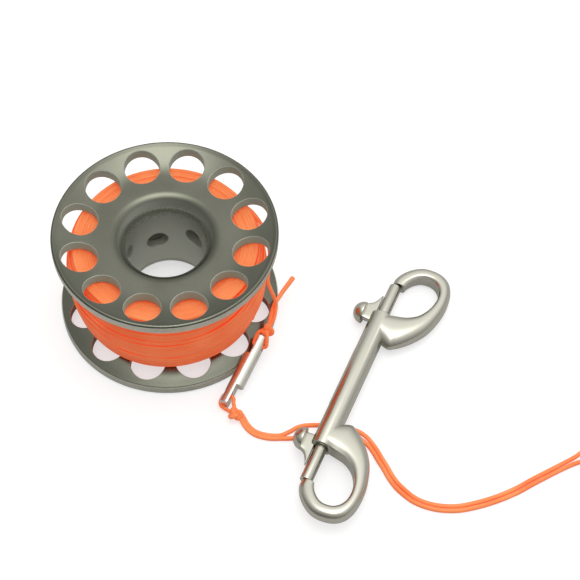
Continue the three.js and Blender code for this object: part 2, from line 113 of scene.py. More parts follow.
def colour_ramp(tree, factor, stops):
    """The colour of a Color Ramp node whose stops have a position and a colour."""
    colour = add_node(tree, "ValToRGB", {"Fac": factor})["Color"]
    ramp = tree.nodes[-1].color_ramp
    while len(ramp.elements) < len(stops):
        ramp.elements.new(0.5)
    for stop, (position, shade) in zip(ramp.elements, stops):
        stop.position, stop.color = position, shade
    return colour


def mixed_colour(tree, factor, a, b):
    """The colour of a Mix node: a at factor 0 and b at factor 1."""
    outputs = add_node(tree, "Mix", {"Factor": factor, "A": a, "B": b}, data_type="RGBA")
    return next(socket for socket in outputs if socket.type == "RGBA")


def bumped(tree, height, strength, distance):
    """The normal of a Bump node whose full relief has a depth in metres."""
    return add_node(tree, "Bump", {
        "Strength": strength, "Distance": distance, "Height": height})["Normal"]


def axis_reach(tree, place):
    """A place's distance from the spool's axis and its height, in metres."""
    offset = add_node(tree, "VectorMath", {0: place, 1: tuple(spool_axis * MM)}, operation="SUBTRACT")[0]
    parts = add_node(tree, "SeparateXYZ", {"Vector": offset})
    flat = add_node(tree, "CombineXYZ", {"X": parts["X"], "Y": parts["Y"]})["Vector"]
    return add_node(tree, "VectorMath", {0: flat}, operation="LENGTH")["Value"], parts["Z"]


def new_material(name):
    """A named material with an empty node tree, and that tree."""
    material = bpy.data.materials.new(name)
    material.use_nodes = True
    material.node_tree.nodes.clear()
    return material, material.node_tree


def finish_material(tree, inputs):
    """Ends a tree in a Principled shader with the given inputs."""
    shader = add_node(tree, "BsdfPrincipled", inputs)["BSDF"]
    add_node(tree, "OutputMaterial", {"Surface": shader})


braid_pitch = 0.62  # mm along the line for two diamonds
# Painted light: between these two distances the line passes from painted grey shade to orange with its
# painted glow.
painted_shade_until, painted_glow_from = 0.0155, 0.0195  # metres from the spool's axis

braided_line, tree = new_material("braided polyester line")
strand_uv = add_node(tree, "UVMap", uv_map="strand")["UV"]
uv_parts = add_node(tree, "SeparateXYZ", {"Vector": strand_uv})
along = maths(tree, "MULTIPLY", uv_parts["X"], 2 * math.pi / braid_pitch)
around = maths(tree, "MULTIPLY", uv_parts["Y"], 4 * math.pi)
leading = maths(tree, "SINE", maths(tree, "ADD", along, around))
trailing = maths(tree, "SINE", maths(tree, "SUBTRACT", along, around))
diamonds = maths(tree, "MULTIPLY", leading, trailing)
place = add_node(tree, "TexCoord")["Object"]
fuzz, patches = noise(tree, place, 900.0, 2.0, 0.6), noise(tree, place, 90.0, 1.0)
orange = colour_ramp(tree, maths(tree, "MULTIPLY_ADD", diamonds, 0.1, patches), [
    (0.18, linear("#c27e4c")), (0.85, linear("#cf9e68"))])
relief = maths(tree, "MULTIPLY_ADD", fuzz, 0.5, diamonds)

# Painted light: a red emission, a painted glow, keeps the line bright even in shade. Against the
# hub, where the line is seen only through the cross holes, it is painted grey as shade, without the glow.
painted_light_share = fade(tree, axis_reach(tree, place)[0], painted_shade_until, painted_glow_from)
finish_material(tree, {
    "Base Color": mixed_colour(tree, painted_light_share, linear("#75746a"), orange),
    "Roughness": 0.8, "Specular IOR Level": 0.25, "Sheen Weight": 0.15, "Sheen Roughness": 0.5,
    "Normal": bumped(tree, relief, 0.15, 0.00004),
    "Emission Color": (1.0, 0.045, 0.0, 1.0), "Emission Strength": maths(tree, "MULTIPLY", painted_light_share, 0.43)})


# Lead, loop and tail
# The end of the line leaves the pack, goes down over the rim of the pack to
# the metal link, through the link's eye and back to its knot, and ends in a
# short cut tail.
line_radius = 0.6
frayed_radius, frayed_length = 0.82, 16.0  # the braid opens towards its cut end
line_sides = 12


def through(points, steps):
    """A smooth curve through a list of points: each stretch between two of
    them is a Catmull-Rom cubic, which takes its slopes from its neighbours."""
    points = np.asarray(points, float)
    padded = np.vstack([2 * points[:1] - points[1:2], points, 2 * points[-1:] - points[-2:-1]])
    share = np.linspace(0, len(points) - 1, steps)
    first = np.minimum(share.astype(int), len(points) - 2)
    t = (share - first)[:, None]
    a, b, c, d = (padded[first + i] for i in range(4))
    return b + 0.5 * t * (c - a + t * (2 * a - 5 * b + 4 * c - d + t * (3 * (b - c) + d - a)))


def distances(path):
    """Distance along a path to each of its points."""
    return np.concatenate([[0], np.cumsum(np.linalg.norm(np.diff(path, axis=0), axis=1))])


def evenly(points, spacing):
    """The same path with its points an even distance apart."""
    reach = distances(points)
    at = np.linspace(0, reach[-1], max(int(reach[-1] / spacing), 2))
    return np.stack([np.interp(at, reach, points[:, axis]) for axis in range(3)], axis=1)


def path_length(path):
    """Distance along a path to its end."""
    return float(distances(path)[-1])


def unit(vectors):
    """The same vectors, each with a length of 1."""
    return vectors / np.linalg.norm(vectors, axis=-1, keepdims=True)


def full_turn(steps):
    """The angles of a full turn in equal steps."""
    return np.linspace(0, 2 * math.pi, steps + 1)


def joined(*coordinates):
    """Points out of coordinates whose shapes fit each other."""
    return np.stack(np.broadcast_arrays(*coordinates), axis=-1)


def capped(rings):
    """A skin of rings, closed at both ends in the middle of the last ring."""
    lids = rings[[0, -1]].copy()
    lids[..., :3] = lids[:, :-1, :3].mean(axis=1, keepdims=True)
    return np.concatenate([lids[:1], rings, lids[1:]])


def cord_surface(path, radii, outward, sides, squareness=1.0):
    """A tube along a path. Square to each point stands an oval with two half
    widths, one outward and one across. Its cosine and sine are raised to the
    squareness: 1 is an ellipse and less is flatter on its sides. Without an
    outward direction the path is closed, and outward is away from its middle.
    The points also carry texture places: mm along the path and turns round it."""
    path, closed = np.asarray(path, float), outward is None
    tangent = np.gradient(path, axis=0)
    if closed:
        tangent[[0, -1]] = path[1] - path[-2]
        outward = path - path[:-1].mean(axis=0)
    tangent = unit(tangent)
    outward = np.broadcast_to(outward, path.shape)
    outward = unit(outward - (outward * tangent).sum(1)[:, None] * tangent)
    across = np.cross(tangent, outward)
    thick, wide = np.broadcast_to(radii, (len(path), 2)).T[:, :, None, None]
    turn = full_turn(sides)
    out, side = (np.sign(w) * np.abs(w) ** squareness for w in np.round([np.cos(turn), np.sin(turn)], 9))
    rings = path[:, None] + (
        outward[:, None] * (thick * out[:, None]) + across[:, None] * (wide * side[:, None]))
    texture_places = joined(distances(path)[:, None], turn / (2 * math.pi))
    rings = np.concatenate([rings, texture_places], axis=-1)
    return rings if closed else capped(rings)


def smooth(mesh, crease):
    """Shades a mesh smooth, but for edges sharper than the crease in degrees."""
    mesh.polygons.foreach_set("use_smooth", [True] * len(mesh.polygons))
    mesh.set_sharp_from_angle(angle=math.radians(crease))


def surface_piece(name, grids, material, crease=40):
    """One mesh out of grids of points, in mm, with or without texture places.
    Points that meet are merged, the faces are turned outwards, and edges sharper
    than the crease stay crisp."""
    places, quads, start = [], [], 0
    for grid in grids:
        rows, columns = grid.shape[:2]
        corner = np.arange(rows * columns).reshape(rows, columns) + start
        corners = [corner[:-1, :-1], corner[:-1, 1:], corner[1:, 1:], corner[1:, :-1]]
        quads.append(np.stack(corners, axis=-1).reshape(-1, 4))
        places.append(grid.reshape(rows * columns, -1))
        start += rows * columns
    places, quads = np.concatenate(places), np.concatenate(quads)
    mesh = bpy.data.meshes.new(name)
    mesh.from_pydata(places[:, :3] * MM, [], quads)
    if places.shape[1] > 3:
        texture_places = places[quads.ravel(), 3:].ravel().astype(np.float32)
        mesh.uv_layers.new(name="strand").data.foreach_set("uv", texture_places)
    shape = bmesh.new()
    shape.from_mesh(mesh)
    bmesh.ops.remove_doubles(shape, verts=shape.verts, dist=2e-7)
    bmesh.ops.dissolve_degenerate(shape, edges=shape.edges, dist=1e-8)
    bmesh.ops.recalc_face_normals(shape, faces=shape.faces)
    shape.to_mesh(mesh)
    shape.free()
    smooth(mesh, crease)
    mesh.materials.append(material)
    piece = bpy.data.objects.new(name, mesh)
    bpy.context.scene.collection.objects.link(piece)
    return piece


lead_points = spool_axis + [
    [14.2, 24.1, 32.3], [17.1, 22.8, 32.2], [19.9, 21.9, 31.7], [23.0, 20.3, 30.4],
    [26.0, 18.1, 28.2], [28.5, 15.0, 25.5], [30.2, 11.3, 22.8], [31.1, 7.6, 20.1],
    [32.5, 6.5, 17.0], [33.9, 6.2, 13.4], [34.9, 5.4, 10.9], [35.5, 3.4, 9.5],
    [35.8, 1.5, 8.8], [35.8, -0.1, 8.6],
]
tail_points = spool_axis + [
    [34.9, -0.1, 8.7], [34.6, 1.8, 8.9], [34.3, 3.8, 9.1], [34.0, 6.2, 9.2],
    [34.2, 9.2, 8.9], [34.4, 12.8, 8.3], [34.8, 16.0, 7.9], [35.1, 19.0, 7.4],
]
link_top = spool_axis + [34.3, -5.4, 7.0]
link_low = spool_axis + [33.0, -30.0, 2.65]
link_along = unit(link_top - link_low)
link_left = unit(np.cross([0, 0, 1], link_along))
link_up = np.cross(link_along, link_left)


def at_link(end, places):
    """Places past an end of the link, towards the side of its flat and above
    its axis, as places in the model."""
    past, aside, rise = np.asarray(places, float).T[:, :, None]
    origin = link_top if end > 0 else link_low
    return origin + end * past * link_along + end * aside * link_left + rise * link_up


line_loop = at_link(1, [
    [2.4, -1.1, 0.9], [1.6, -1.5, 1.3], [0.6, -1.9, 1.6], [-0.5, -2.5, 1.7], [-1.6, -2.85, 1.2],
    [-2.6, -3.0, 0.6], [-3.2, -1.2, -0.1], [-3.2, 0.3, 0], [-2.7, 1.15, 0], [-1.6, 1.4, 0.1],
    [-0.3, 1.4, 0.3], [0.9, 1.3, 0.6], [1.9, 0.5, 0.8],
])
back_at_knot = line_loop[:1] + [0.2, 0.5, 0.4]
lead_path = evenly(through(np.vstack([lead_points, line_loop, back_at_knot, tail_points]), 500), 0.35)
to_end = np.linspace(path_length(lead_path), 0, len(lead_path))
lead_radius = np.interp(to_end, [0, frayed_length], [frayed_radius, line_radius])[:, None]
lead_line = surface_piece(
    "lead_line", [cord_surface(lead_path, lead_radius, [0.3, 0.2, 1], line_sides)], braided_line)
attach(lead_line, "spool")
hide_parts("line_lead", "line_tail")


# Leader
# A second length of the same line, doubled. It starts and ends in its knot at
# the link, passes under the snap and turns back on itself at the bight.
leader_plan = [
    [38.63, -30.6], [39.61, -31.3], [41.59, -32.72], [44.08, -33.75], [46.38, -33.98],
    [49.29, -33.42], [52.1, -32.25], [54.33, -30.08], [56.06, -27.7], [58.28, -26.03],
    [61.9, -24.38], [66.22, -22.83], [70.33, -21.98], [73.73, -21.72], [76.63, -22.36],
    [78.91, -23.59], [81.49, -25.42], [83.96, -27.55], [86.34, -29.48], [90, -32.63],
    [93.57, -34.67], [98.75, -36.44], [104.46, -36.21], [109.98, -34.38], [114.51, -31.53],
    [119.97, -27], [124.94, -21.76], [129, -16.41], [134.69, -9.28], [138.56, -4.33],
    [140.6, -0.76], [142.43, 1.82], [145.34, 2.38], [147.01, 0.16], [145.98, -2.62],
    [142.97, -3.69], [139.84, -5.85], [135.88, -10.2], [130.19, -17.33], [126.03, -22.78],
    [120.96, -28.11], [115.4, -32.74], [110.66, -35.69], [104.84, -37.61], [98.53, -37.83],
    [92.96, -36.06], [89.18, -33.82], [85.42, -30.57], [83.05, -28.64], [80.58, -26.51],
    [78.1, -24.88], [75.31, -24.04], [71.5, -24.5], [67.48, -26.05], [63.46, -27.9],
    [59.43, -30.04], [56.21, -31.8], [52.78, -33.56], [49.67, -34.82], [46.46, -35.38],
    [43.56, -35.15], [40.88, -33.91], [38.9, -32.49], [37.92, -31.79],
]
on_ground, near_knot = 0.65, [1.7, 1.5, 0.75]  # heights
leader_half_width, leader_squareness = 0.66, 0.65  # a little wider than high, with flattened sides
strands_apart, loose_from = 1.06, 2.0

leader_points = spool_axis + np.column_stack([leader_plan, np.full(len(leader_plan), on_ground)])
leader_points[:3, 2], leader_points[-3:, 2] = near_knot, near_knot[::-1]
partner = leader_points[::-1] - leader_points
apart = np.linalg.norm(partner, axis=1)[:, None]
leader_points += partner * np.where(apart < loose_from, (1 - strands_apart / apart) / 2, 0)
leader_path = evenly(through(leader_points, 1200), 0.4)
leader_grid = cord_surface(
    leader_path, (line_radius, leader_half_width), [0, 0, 1], line_sides, leader_squareness)
leader = surface_piece("leader_line", [leader_grid], braided_line)
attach(leader, "spool")
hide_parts("leader_loop")


# Knots
# Each is the line passed over and through itself and drawn tight, with its
# strands side by side. The leader's knot also holds the loop through the eye.
knot_size, leader_knot_size, knot_strand = 0.5, 0.6, 0.76


def overhand(centre, size, forward, up):
    """A trefoil: the closed curve (sin t + 2 sin 2t, cos t - 2 cos 2t, -1.05 sin 3t)
    times the size, with its flat side across the up direction."""
    t = full_turn(180)[:, None]
    forward = unit(forward)
    side = unit(np.cross(up, forward))
    top = np.cross(forward, side)
    return centre + size * ((np.sin(t) + 2 * np.sin(2 * t)) * forward
                            + (np.cos(t) - 2 * np.cos(2 * t)) * side - 1.05 * np.sin(3 * t) * top)


line_knot_path = overhand(line_loop[0] + [0.1, 0.2, 0.1], knot_size, [0.2, 1, 0.3], [0.3, -0.2, 1])
line_knot = surface_piece(
    "line_knot_wraps", [cord_surface(line_knot_path, knot_strand, None, line_sides)], braided_line)
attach(line_knot, "spool")
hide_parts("line_knot")

leader_loop_places = at_link(-1, [
    [1.4, 4.2, 0], [1.3, 2.6, -0.8], [1.0, 1.0, -1.2], [0.8, -0.6, -1.3], [0.3, -1.9, -1.4],
    [-0.8, -2.6, -1.6], [-1.9, -2.65, -1.65], [-2.9, -2.45, -1.2], [-3.2, -1.2, -0.3],
    [-3.2, 0.3, 0], [-2.7, 1.2, 0], [-1.6, 1.7, 0], [-0.4, 2.6, 0], [0.6, 3.5, 0], [1.4, 4.2, 0],
])
leader_loop_path = evenly(through(leader_loop_places, 160), 0.35)
leader_knot_path = overhand(
    leader_loop_places[0] + [-0.3, -0.1, 0], leader_knot_size, [1, -0.5, 0], [0, 0.2, 1])
leader_knot = surface_piece("leader_knot_wraps", [
    cord_surface(leader_knot_path, knot_strand, None, line_sides),
    cord_surface(leader_loop_path, line_radius, [0, 0, 1], line_sides)], braided_line)
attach(leader_knot, "spool")
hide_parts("leader_knot")


# Wound line
# Some thirty metres of the line are wound on the hub by hand. The outer turns
# are one long strand that crosses itself in shallow bunches, each turn drawn
# tight over those below it. Deeper turns show only at the pack's two ends.
spool_height = 39.1
middle = spool_height / 2
pack_radius, pack_bulge, pack_half = 31.25, 2.8, 13.2
turn_width, turn_thickness = 0.72, 0.28  # half of each, pressed flat
turn_count, turn_steps, turn_sides, turn_squareness = 56, 150, 8, 0.8
hollows = [(44.9, 0.75, 0.9), (48.3, 0.95, 1.1), (51.5, 0.9, 1.0), (54.4, 0.75, 1.2)]
smoothing_passes, fitting_passes = 14, 6
nesting = 0.9  # share of its own thickness that a turn lies above its support
base_depth, fitting_share, blur_steps, blur_rows = 2.4, 0.9, 10, 3
join_turns, round_steps = 0.35, 45
winding_end = math.atan2(lead_points[0][1] - spool_axis[1], lead_points[0][0] - spool_axis[0])


def pack_outline(z):
    """Radius of the full pack at a height from its middle: a parabola."""
    return pack_radius - pack_bulge * (z / pack_half) ** 2


def tightened(radii, step):
    """Radii of a line drawn tight over supports at equal steps of angle. From a
    point m steps back at radius a to one n steps on at radius b, a straight
    line passes at 1 / r = (sin(n step) / a + sin(m step) / b) / sin((m + n) step)."""
    count = len(radii)
    hops = (1, 2, 4, 6, 3, 1)
    for back in hops:
        for on in hops:
            a = radii[np.maximum(np.arange(count) - back, 0)]
            b = radii[np.minimum(np.arange(count) + on, count - 1)]
            chord = math.sin((back + on) * step) / (math.sin(on * step) / a + math.sin(back * step) / b)
            chord[:back], chord[count - on:] = 0, 0
            radii = np.maximum(radii, chord)
    return radii


def climbing_height(progress, angle):
    """Heights of the outer turns before they sway. They go up, down and up again
    side by side, and climb where the angle nears that of the lead."""
    stops = [0, 21, 42, 44.6, 45.2, 48.0, 48.6, 51.2, 51.8, 54.2, 55.1, 56]
    middle_height = np.interp(progress, stops, [
        -12.3, 11.9, -12.2, -9.5, -8.2, -5.1, -3.9, -1.0, 0.2, 2.8, 7.5, 12.75])
    climb = np.interp(progress, [0, 21, 42, 54.2, 56], [0, 1.2, 0.3, 5.5, 0])
    nearness = np.exp(-((angle - winding_end + 0.3 + math.pi) % (2 * math.pi) - math.pi) ** 2 / 1.2)
    return middle_height + climb * nearness


def bunched_outline(angle, z):
    """The pack's outline, less the hollows between the bunches of the last layer.
    Each has the turn that it follows, a depth and a half width, and takes off
    depth times exp(-(distance / half width) squared)."""
    return pack_outline(z) + 0.15 - sum(
        depth * np.exp(-((z - climbing_height(turn, angle)) / half_width) ** 2)
        for turn, depth, half_width in hollows)


def wound_heights(progress, angle):
    """Heights of the outer turns, with a slow sway from turn to turn."""
    sway = 0.3 * np.sin(angle + progress * 0.12) * (progress < 54)
    limit = np.interp(progress, [0, 55, 56], [12.5, 12.5, 12.75])
    height = np.clip(climbing_height(progress, angle) + sway, -limit, limit)
    height[6:-6] = np.convolve(height, np.ones(13) / 13, "valid")
    return height


def laid_strand(base, heights, rows):
    """Radii of the outer turns, and the finished grid. A grid holds the pack's
    radius over angle and height, from the given base. Each turn rests on the
    highest support under its own width, is drawn tight, and adds its rounded
    back to the grid. The radii are smoothed along the strand at the end."""
    pile = np.broadcast_to(base, (turn_steps + 1, len(rows))).copy()
    radii = np.zeros(turn_count * turn_steps + 1)
    at = np.arange(turn_steps + 1)
    for turn in range(turn_count):
        run = slice(turn * turn_steps, (turn + 1) * turn_steps + 1)
        z = heights[run]
        support = np.zeros(turn_steps + 1)
        for aside in (-0.5, -0.25, 0.0, 0.25, 0.5):
            row = np.rint(np.interp(z + aside * turn_width, rows, np.arange(len(rows)))).astype(int)
            drop = turn_thickness * (1 - math.sqrt(1 - aside ** 2))
            support = np.maximum(support, pile[at, row] - drop)
        radius = tightened(support + turn_thickness * nesting, 2 * math.pi / turn_steps)
        across = np.clip((rows[None] - z[:, None]) / turn_width, -1, 1)
        back = radius[:, None] + turn_thickness * np.sqrt(1 - across ** 2)
        pile = np.where(np.abs(across) < 1, np.maximum(pile, back), pile)
        radii[run] = radius
    for _ in range(smoothing_passes):
        radii[1:-1] = radii[:-2] / 4 + radii[1:-1] / 2 + radii[2:] / 4
    return radii, pile


def in_pack(angle, radius, height):
    """Places in the model of angles, radii and heights round the spool's axis."""
    return spool_axis + joined(radius * np.cos(angle), radius * np.sin(angle), middle + height)


progress = np.arange(turn_count * turn_steps + 1) / turn_steps
strand_angle = winding_end + 2 * math.pi * (turn_count - progress)
strand_height = wound_heights(progress, strand_angle)
rows = np.linspace(-13.4, 13.4, 180)
pack_base = pack_outline(rows) - base_depth
wanted_pile = bunched_outline(strand_angle[:turn_steps, None], rows)
for _ in range(fitting_passes):  # laid again over a base that brings its turns to the outline
    strand_radius, pile = laid_strand(pack_base, strand_height, rows)
    shifts, firsts = range(-blur_steps, blur_steps + 1), range(2 * blur_rows + 1)
    excess = sum(np.roll(pile[:-1], shift, axis=0) for shift in shifts) / len(shifts) - wanted_pile
    excess = np.pad(excess, ((0, 0), (blur_rows, blur_rows)), "edge")
    excess = sum(excess[:, first:first + len(rows)] for first in firsts) / len(firsts)
    pack_base = pack_base - fitting_share * np.vstack([excess, excess[:1]])
join = np.clip((progress - (turn_count - join_turns)) / join_turns, 0, 1)
join = join * join * (3 - 2 * join)
lead_start = lead_points[0] - spool_axis
strand_radius += join * (math.hypot(*lead_start[:2]) - strand_radius)
strand_height += join * (lead_start[2] - middle - strand_height)
strand_path = in_pack(strand_angle, strand_radius, strand_height)
strand_out = joined(np.cos(strand_angle), np.sin(strand_angle), 0)
last_step = len(strand_path) - 1
round_end = np.interp(np.arange(last_step + 1), [last_step + 1 - round_steps, last_step], [0, 1])[:, None]
widths = np.array([turn_thickness, turn_width])
widths = widths + round_end * (line_radius - widths)
strand_grid = cord_surface(strand_path, widths, strand_out, turn_sides, turn_squareness)
winding = surface_piece("wound_strand", [strand_grid], braided_line, crease=60)
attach(winding, "spool")
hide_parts("line_winding")


# Turns at one end of the pack lie in rings that grow outwards from the hub.
under_height, under_slope, under_reach = 33.32, 0.26, 27.15
ring_start, ring_step, ring_stray, ring_half_width = 20.2, 0.86, 0.16, 0.58
ring_gap, ring_sink = 0.34, 0.35
face_turns, face_steps = 10, 132


def flange_under(r):
    """Height of a flange's inner face above the pack's middle, as a plain cone."""
    return under_height - middle + under_slope * (r - under_reach)


chance = np.random.default_rng(11)
face_grids = []
for side in (1, -1):
    progress = np.arange(face_turns * face_steps + 1) / face_steps
    jitter, sink = (
        np.interp(progress * a_turn, np.arange(count), chance.uniform(low, 1, count))
        for a_turn, low, count in ((3, -1, 3 * face_turns + 2), (2, 0, 2 * face_turns + 2)))
    angle = side * 2 * math.pi * progress
    radius = ring_start + ring_step * progress + ring_stray * jitter
    height = side * (flange_under(radius) - ring_gap - turn_thickness - ring_sink * sink)
    path = in_pack(angle, radius, height)
    face_grids.append(cord_surface(path, (turn_thickness, ring_half_width), [0, 0, 1], turn_sides))

# Under them is one smooth core, with an outline of foot, side and top.
side_depth, face_depth = 2.2, 1.25
core_rows = np.linspace(-1, 1, 41) * (flange_under(28.4) - 1.5)
core_side = joined(pack_outline(core_rows) - side_depth, core_rows)
core_face = np.linspace(27.6, 15.3, 12)
core_top = joined(core_face, flange_under(core_face) - face_depth)
core_foot = (core_top * [1, -1])[::-1]
core_outline = np.vstack([core_foot, core_side, core_top, core_foot[:1]])
turn, height = full_turn(180), core_outline[:, 1:]
core_grid = in_pack(turn, core_outline[:, :1], height)
face_grids.append(np.concatenate([core_grid, joined(height, turn)], axis=-1))
core = surface_piece("pack_ends", face_grids, braided_line, crease=60)
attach(core, "spool")
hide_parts("line_core")


# Line link
# A stainless rod, 5 mm thick, turned and polished. Each end is milled flat on
# one side, and the tongue that is left has an eye for the line.
link_radius, link_bevel = 2.5, 0.35
tongue_length, tongue_thickness = 7.0, 2.8
eye_radius, eye_inset, eye_flare, eye_flare_depth = 1.3, 3.2, 2.2, 0.25
rod_side = 2.45  # how far the rod's round side stands from the axis at the eye
half_link = float(np.linalg.norm(link_top - link_low)) / 2

link_steel, tree = new_material("polished stainless steel")
scuffs = noise(tree, add_node(tree, "TexCoord")["Object"], 2500.0, 3.0)
finish_material(tree, {
    "Base Color": linear("#e9e8df"), "Metallic": 1.0, "Roughness": fade(tree, scuffs, 0, 1, 0.27, 0.36)})


def turned_rod(profile, columns):
    """A profile of [distance along, radius] points turned round the X axis."""
    x, r = np.asarray(profile, float).T[:, :, None]
    turn = full_turn(columns)
    return joined(x, r * np.cos(turn), r * np.sin(turn))


def along_y(grid):
    """A body of revolution from along X to along Y."""
    return grid[..., [1, 0, 2]] * [-1, 1, 1]


def rod_profile(low, high, radius, bevel):
    """Axis, quarter round, side, quarter round and axis again."""
    t = np.linspace(0, math.pi / 2, 5)
    right = joined(high - bevel + bevel * np.sin(t), radius - bevel + bevel * np.cos(t))
    left = (right * [-1, 1] + [low + high, 0])[::-1]
    return [(low, 0), *left, *right, (high, 0)]


def shaped(piece, steps):
    """Joins tools to a piece or takes them out of it, one after another, and
    discards them."""
    for operation, tool in steps:
        change = piece.modifiers.new("step", "BOOLEAN")
        change.operation, change.solver, change.object = operation, "EXACT", tool
    bpy.context.view_layer.update()
    result = bpy.data.meshes.new_from_object(piece.evaluated_get(bpy.context.evaluated_depsgraph_get()))
    piece.modifiers.clear()
    name, old, piece.data = piece.data.name, piece.data, result
    bpy.data.meshes.remove(old)
    result.name = name
    for _, tool in steps:
        bpy.data.meshes.remove(tool.data)
    smooth(result, 30)


def box_grid(low, high):
    """A box from corner to corner: a band round its sides and two lids."""
    (x0, y0, z0), (x1, y1, z1) = low, high
    band = joined([x0, x1, x1, x0, x0], [y0, y0, y1, y1, y0], [[z0], [z1]])
    return [band, *(joined([x0, x1], [[y0], [y1]], z) for z in (z0, z1))]


def in_link(grid):
    """From the link's own axes, counted from its middle, into the model."""
    return (link_top + link_low) / 2 + grid @ np.stack([link_along, link_left, link_up])


link_rod = turned_rod(rod_profile(-half_link, half_link, link_radius, link_bevel), 96)
line_link = surface_piece("metal_link", [in_link(link_rod)], link_steel)
link_steps = []
for end in (1, -1):
    flat = tongue_thickness - link_radius
    x_cut = sorted([end * (half_link - tongue_length), end * (half_link + 1)])
    y_cut = sorted([end * flat, end * (link_radius + 1)])
    mill = box_grid((x_cut[0], y_cut[0], -4), (x_cut[1], y_cut[1], 4))
    low, high = sorted([-end * rod_side, end * flat])
    drill = along_y(turned_rod([
        (low - 2, 0), (low - 2, eye_radius + eye_flare), (low + eye_flare_depth, eye_radius),
        (high - eye_flare_depth, eye_radius), (high + 2, eye_radius + eye_flare), (high + 2, 0)], 48))
    for tool in (mill, [drill + [end * (half_link - eye_inset), 0, 0]]):
        link_steps.append(("DIFFERENCE", surface_piece("tool", [in_link(g) for g in tool], link_steel)))
shaped(line_link, link_steps)
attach(line_link, "spool")
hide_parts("line_link")


# Spool body
# One piece of aluminium: turned, drilled, knurled round both rims, blasted
# fine and hard-anodised, which leaves a satin olive-grey oxide.
flange_radius, bore_radius, hub_radius = 35.0, 12.5, 15.2
lip_foot, lip_rise, web_foot, web_height = 33.3, 0.44, 20.8, 33.1
hole_circle, hole_mouth, hole_count, hole_bevel = 27.15, 5.8, 12, 0.18
hole_radius = hole_mouth - hole_bevel
hole_phase, hub_hole_phase = math.radians(10.2), math.radians(10.7)
hub_hole_radius, hub_hole_stagger, hub_hole_count, hub_band = 3.5, 2.3, 6, 6.5
upper_throat, lower_throat, throat_lead = 31.0, 33.4, 2.4
mouth_start, mouth_lead, mouth_drop, mouth_steps, fillet_steps = 17.5, 2.9, 0.1, 20, 8
fillet_radius, edge_radius = 2.3, 0.85
columns, teeth_per_column, tooth_depth = 288, 2, 0.16
turning_pitch = 0.0004  # metres between two marks of the turning tool


def oxide_material(name, dark, light, metallic, roughness, painted_bore_light=None):
    """Anodised aluminium: fine blasted grain over faint rings from the turning,
    with a cloudy colour between two hex colours. With a painted bore colour, it
    turns into that lighter colour, and duller, on the way down the bore and the
    hub's outside: painted light, stronger lower down. The fades' places are in metres."""
    material, tree = new_material(name)
    place = add_node(tree, "TexCoord")["Object"]
    reach, height = axis_reach(tree, place)
    grain, cloud = noise(tree, place, 2600.0, 2.0, 0.6), noise(tree, place, 60.0, 2.0)
    colour = colour_ramp(tree, maths(tree, "MULTIPLY_ADD", grain, 0.5, cloud), [
        (0.35, linear(dark)), (1.0, linear(light))])
    rings = maths(tree, "SINE", maths(tree, "MULTIPLY", reach, 2 * math.pi / turning_pitch))
    marks = maths(tree, "MULTIPLY_ADD", rings, 0.35, grain)
    rough = fade(tree, grain, 0, 1, roughness, roughness + 0.08)
    if painted_bore_light:
        # Painted light: the bore and the hub's outside fade to the lighter bore colour, more of it lower
        # down.
        bore = fade(tree, reach, 0.015, 0.0135)
        hub = maths(tree, "MULTIPLY", fade(tree, reach, 0.0162, 0.0152), fade(tree, height, 0.03, 0.028))
        depth = fade(tree, height, 0.0475, 0.004)
        inner = maths(tree, "MULTIPLY", depth, maths(tree, "MAXIMUM", bore, hub))
        colour = mixed_colour(tree, inner, colour, linear(painted_bore_light))
        metallic = fade(tree, inner, 0, 1, metallic, 0.35)
        rough = maths(tree, "MULTIPLY_ADD", inner, 0.2, rough)
    finish_material(tree, {
        "Base Color": colour, "Metallic": metallic, "Roughness": rough,
        "Normal": bumped(tree, marks, 0.12, 0.00001)})
    return material


# The oxide on the turned faces is satin and dark. The bore and the hub's outside are painted lighter and
# dull, as painted light. The hole walls are painted in a light, cool, dull colour, also painted light, and
# the knurl and the edges get a lighter oxide as a painted highlight.
anodised = oxide_material("hard-anodised aluminium", "#5d5e53", "#6f7065", 1.0, 0.16, "#edeee1")
painted_light_hole_oxide = oxide_material("anodised aluminium in the holes", "#94b2a8", "#9ebab0", 0.0, 0.6)
painted_highlight_oxide = oxide_material("anodised aluminium on the knurl", "#c6c7bb", "#d8d9cd", 0.85, 0.38)


def dish(r):
    """Rise of the dished outer face from its flat middle to a radius: its slope
    is 0.41 p^2 / (p^2 + 4.8^2) at p mm past the flat."""
    past = np.maximum(np.asarray(r, float) - 21.8, 0)
    return 0.41 * (past - 4.8 * np.arctan(past / 4.8))


def outer_face(r):
    """Height of the upper flange's outer face, which ends at the foot of the lip."""
    return spool_height - lip_rise - dish(lip_foot) + dish(r)


def inner_face(r):
    """Height of the same flange's inner face, which bends the same way."""
    past = r - hole_circle
    return web_height + 0.26 * past + 0.012 * past ** 2


def turned_band(profile, angles):
    """A list of [radius, height] points turned to each of the given angles."""
    r, z = np.asarray(profile, float).T[:, :, None]
    return joined(r * np.cos(angles), r * np.sin(angles), z)


def bezier(a, b, c, d, steps):
    """A cubic from a to d that leaves towards b and arrives from c."""
    t = np.linspace(0, 1, steps + 1)[:, None]
    a, b, c, d = np.array([a, b, c, d])
    return (1 - t) ** 3 * a + 3 * t * (1 - t) ** 2 * b + 3 * t ** 2 * (1 - t) * c + t ** 3 * d


def patch_edge(half_width, high, low, arc_steps, side_steps):
    """Points round a patch that is two half widths of angle wide and reaches
    from high to low: lists of their angles and of their second measure."""
    arc = np.linspace(-half_width, half_width, arc_steps + 1)
    side = np.linspace(high, low, side_steps + 1)
    angle = np.concatenate([
        arc[:-1], np.full(side_steps, half_width), arc[::-1][:-1], np.full(side_steps + 1, -half_width)])
    return angle, np.concatenate([np.full(arc_steps, high), side[:-1], np.full(arc_steps, low), side[::-1]])


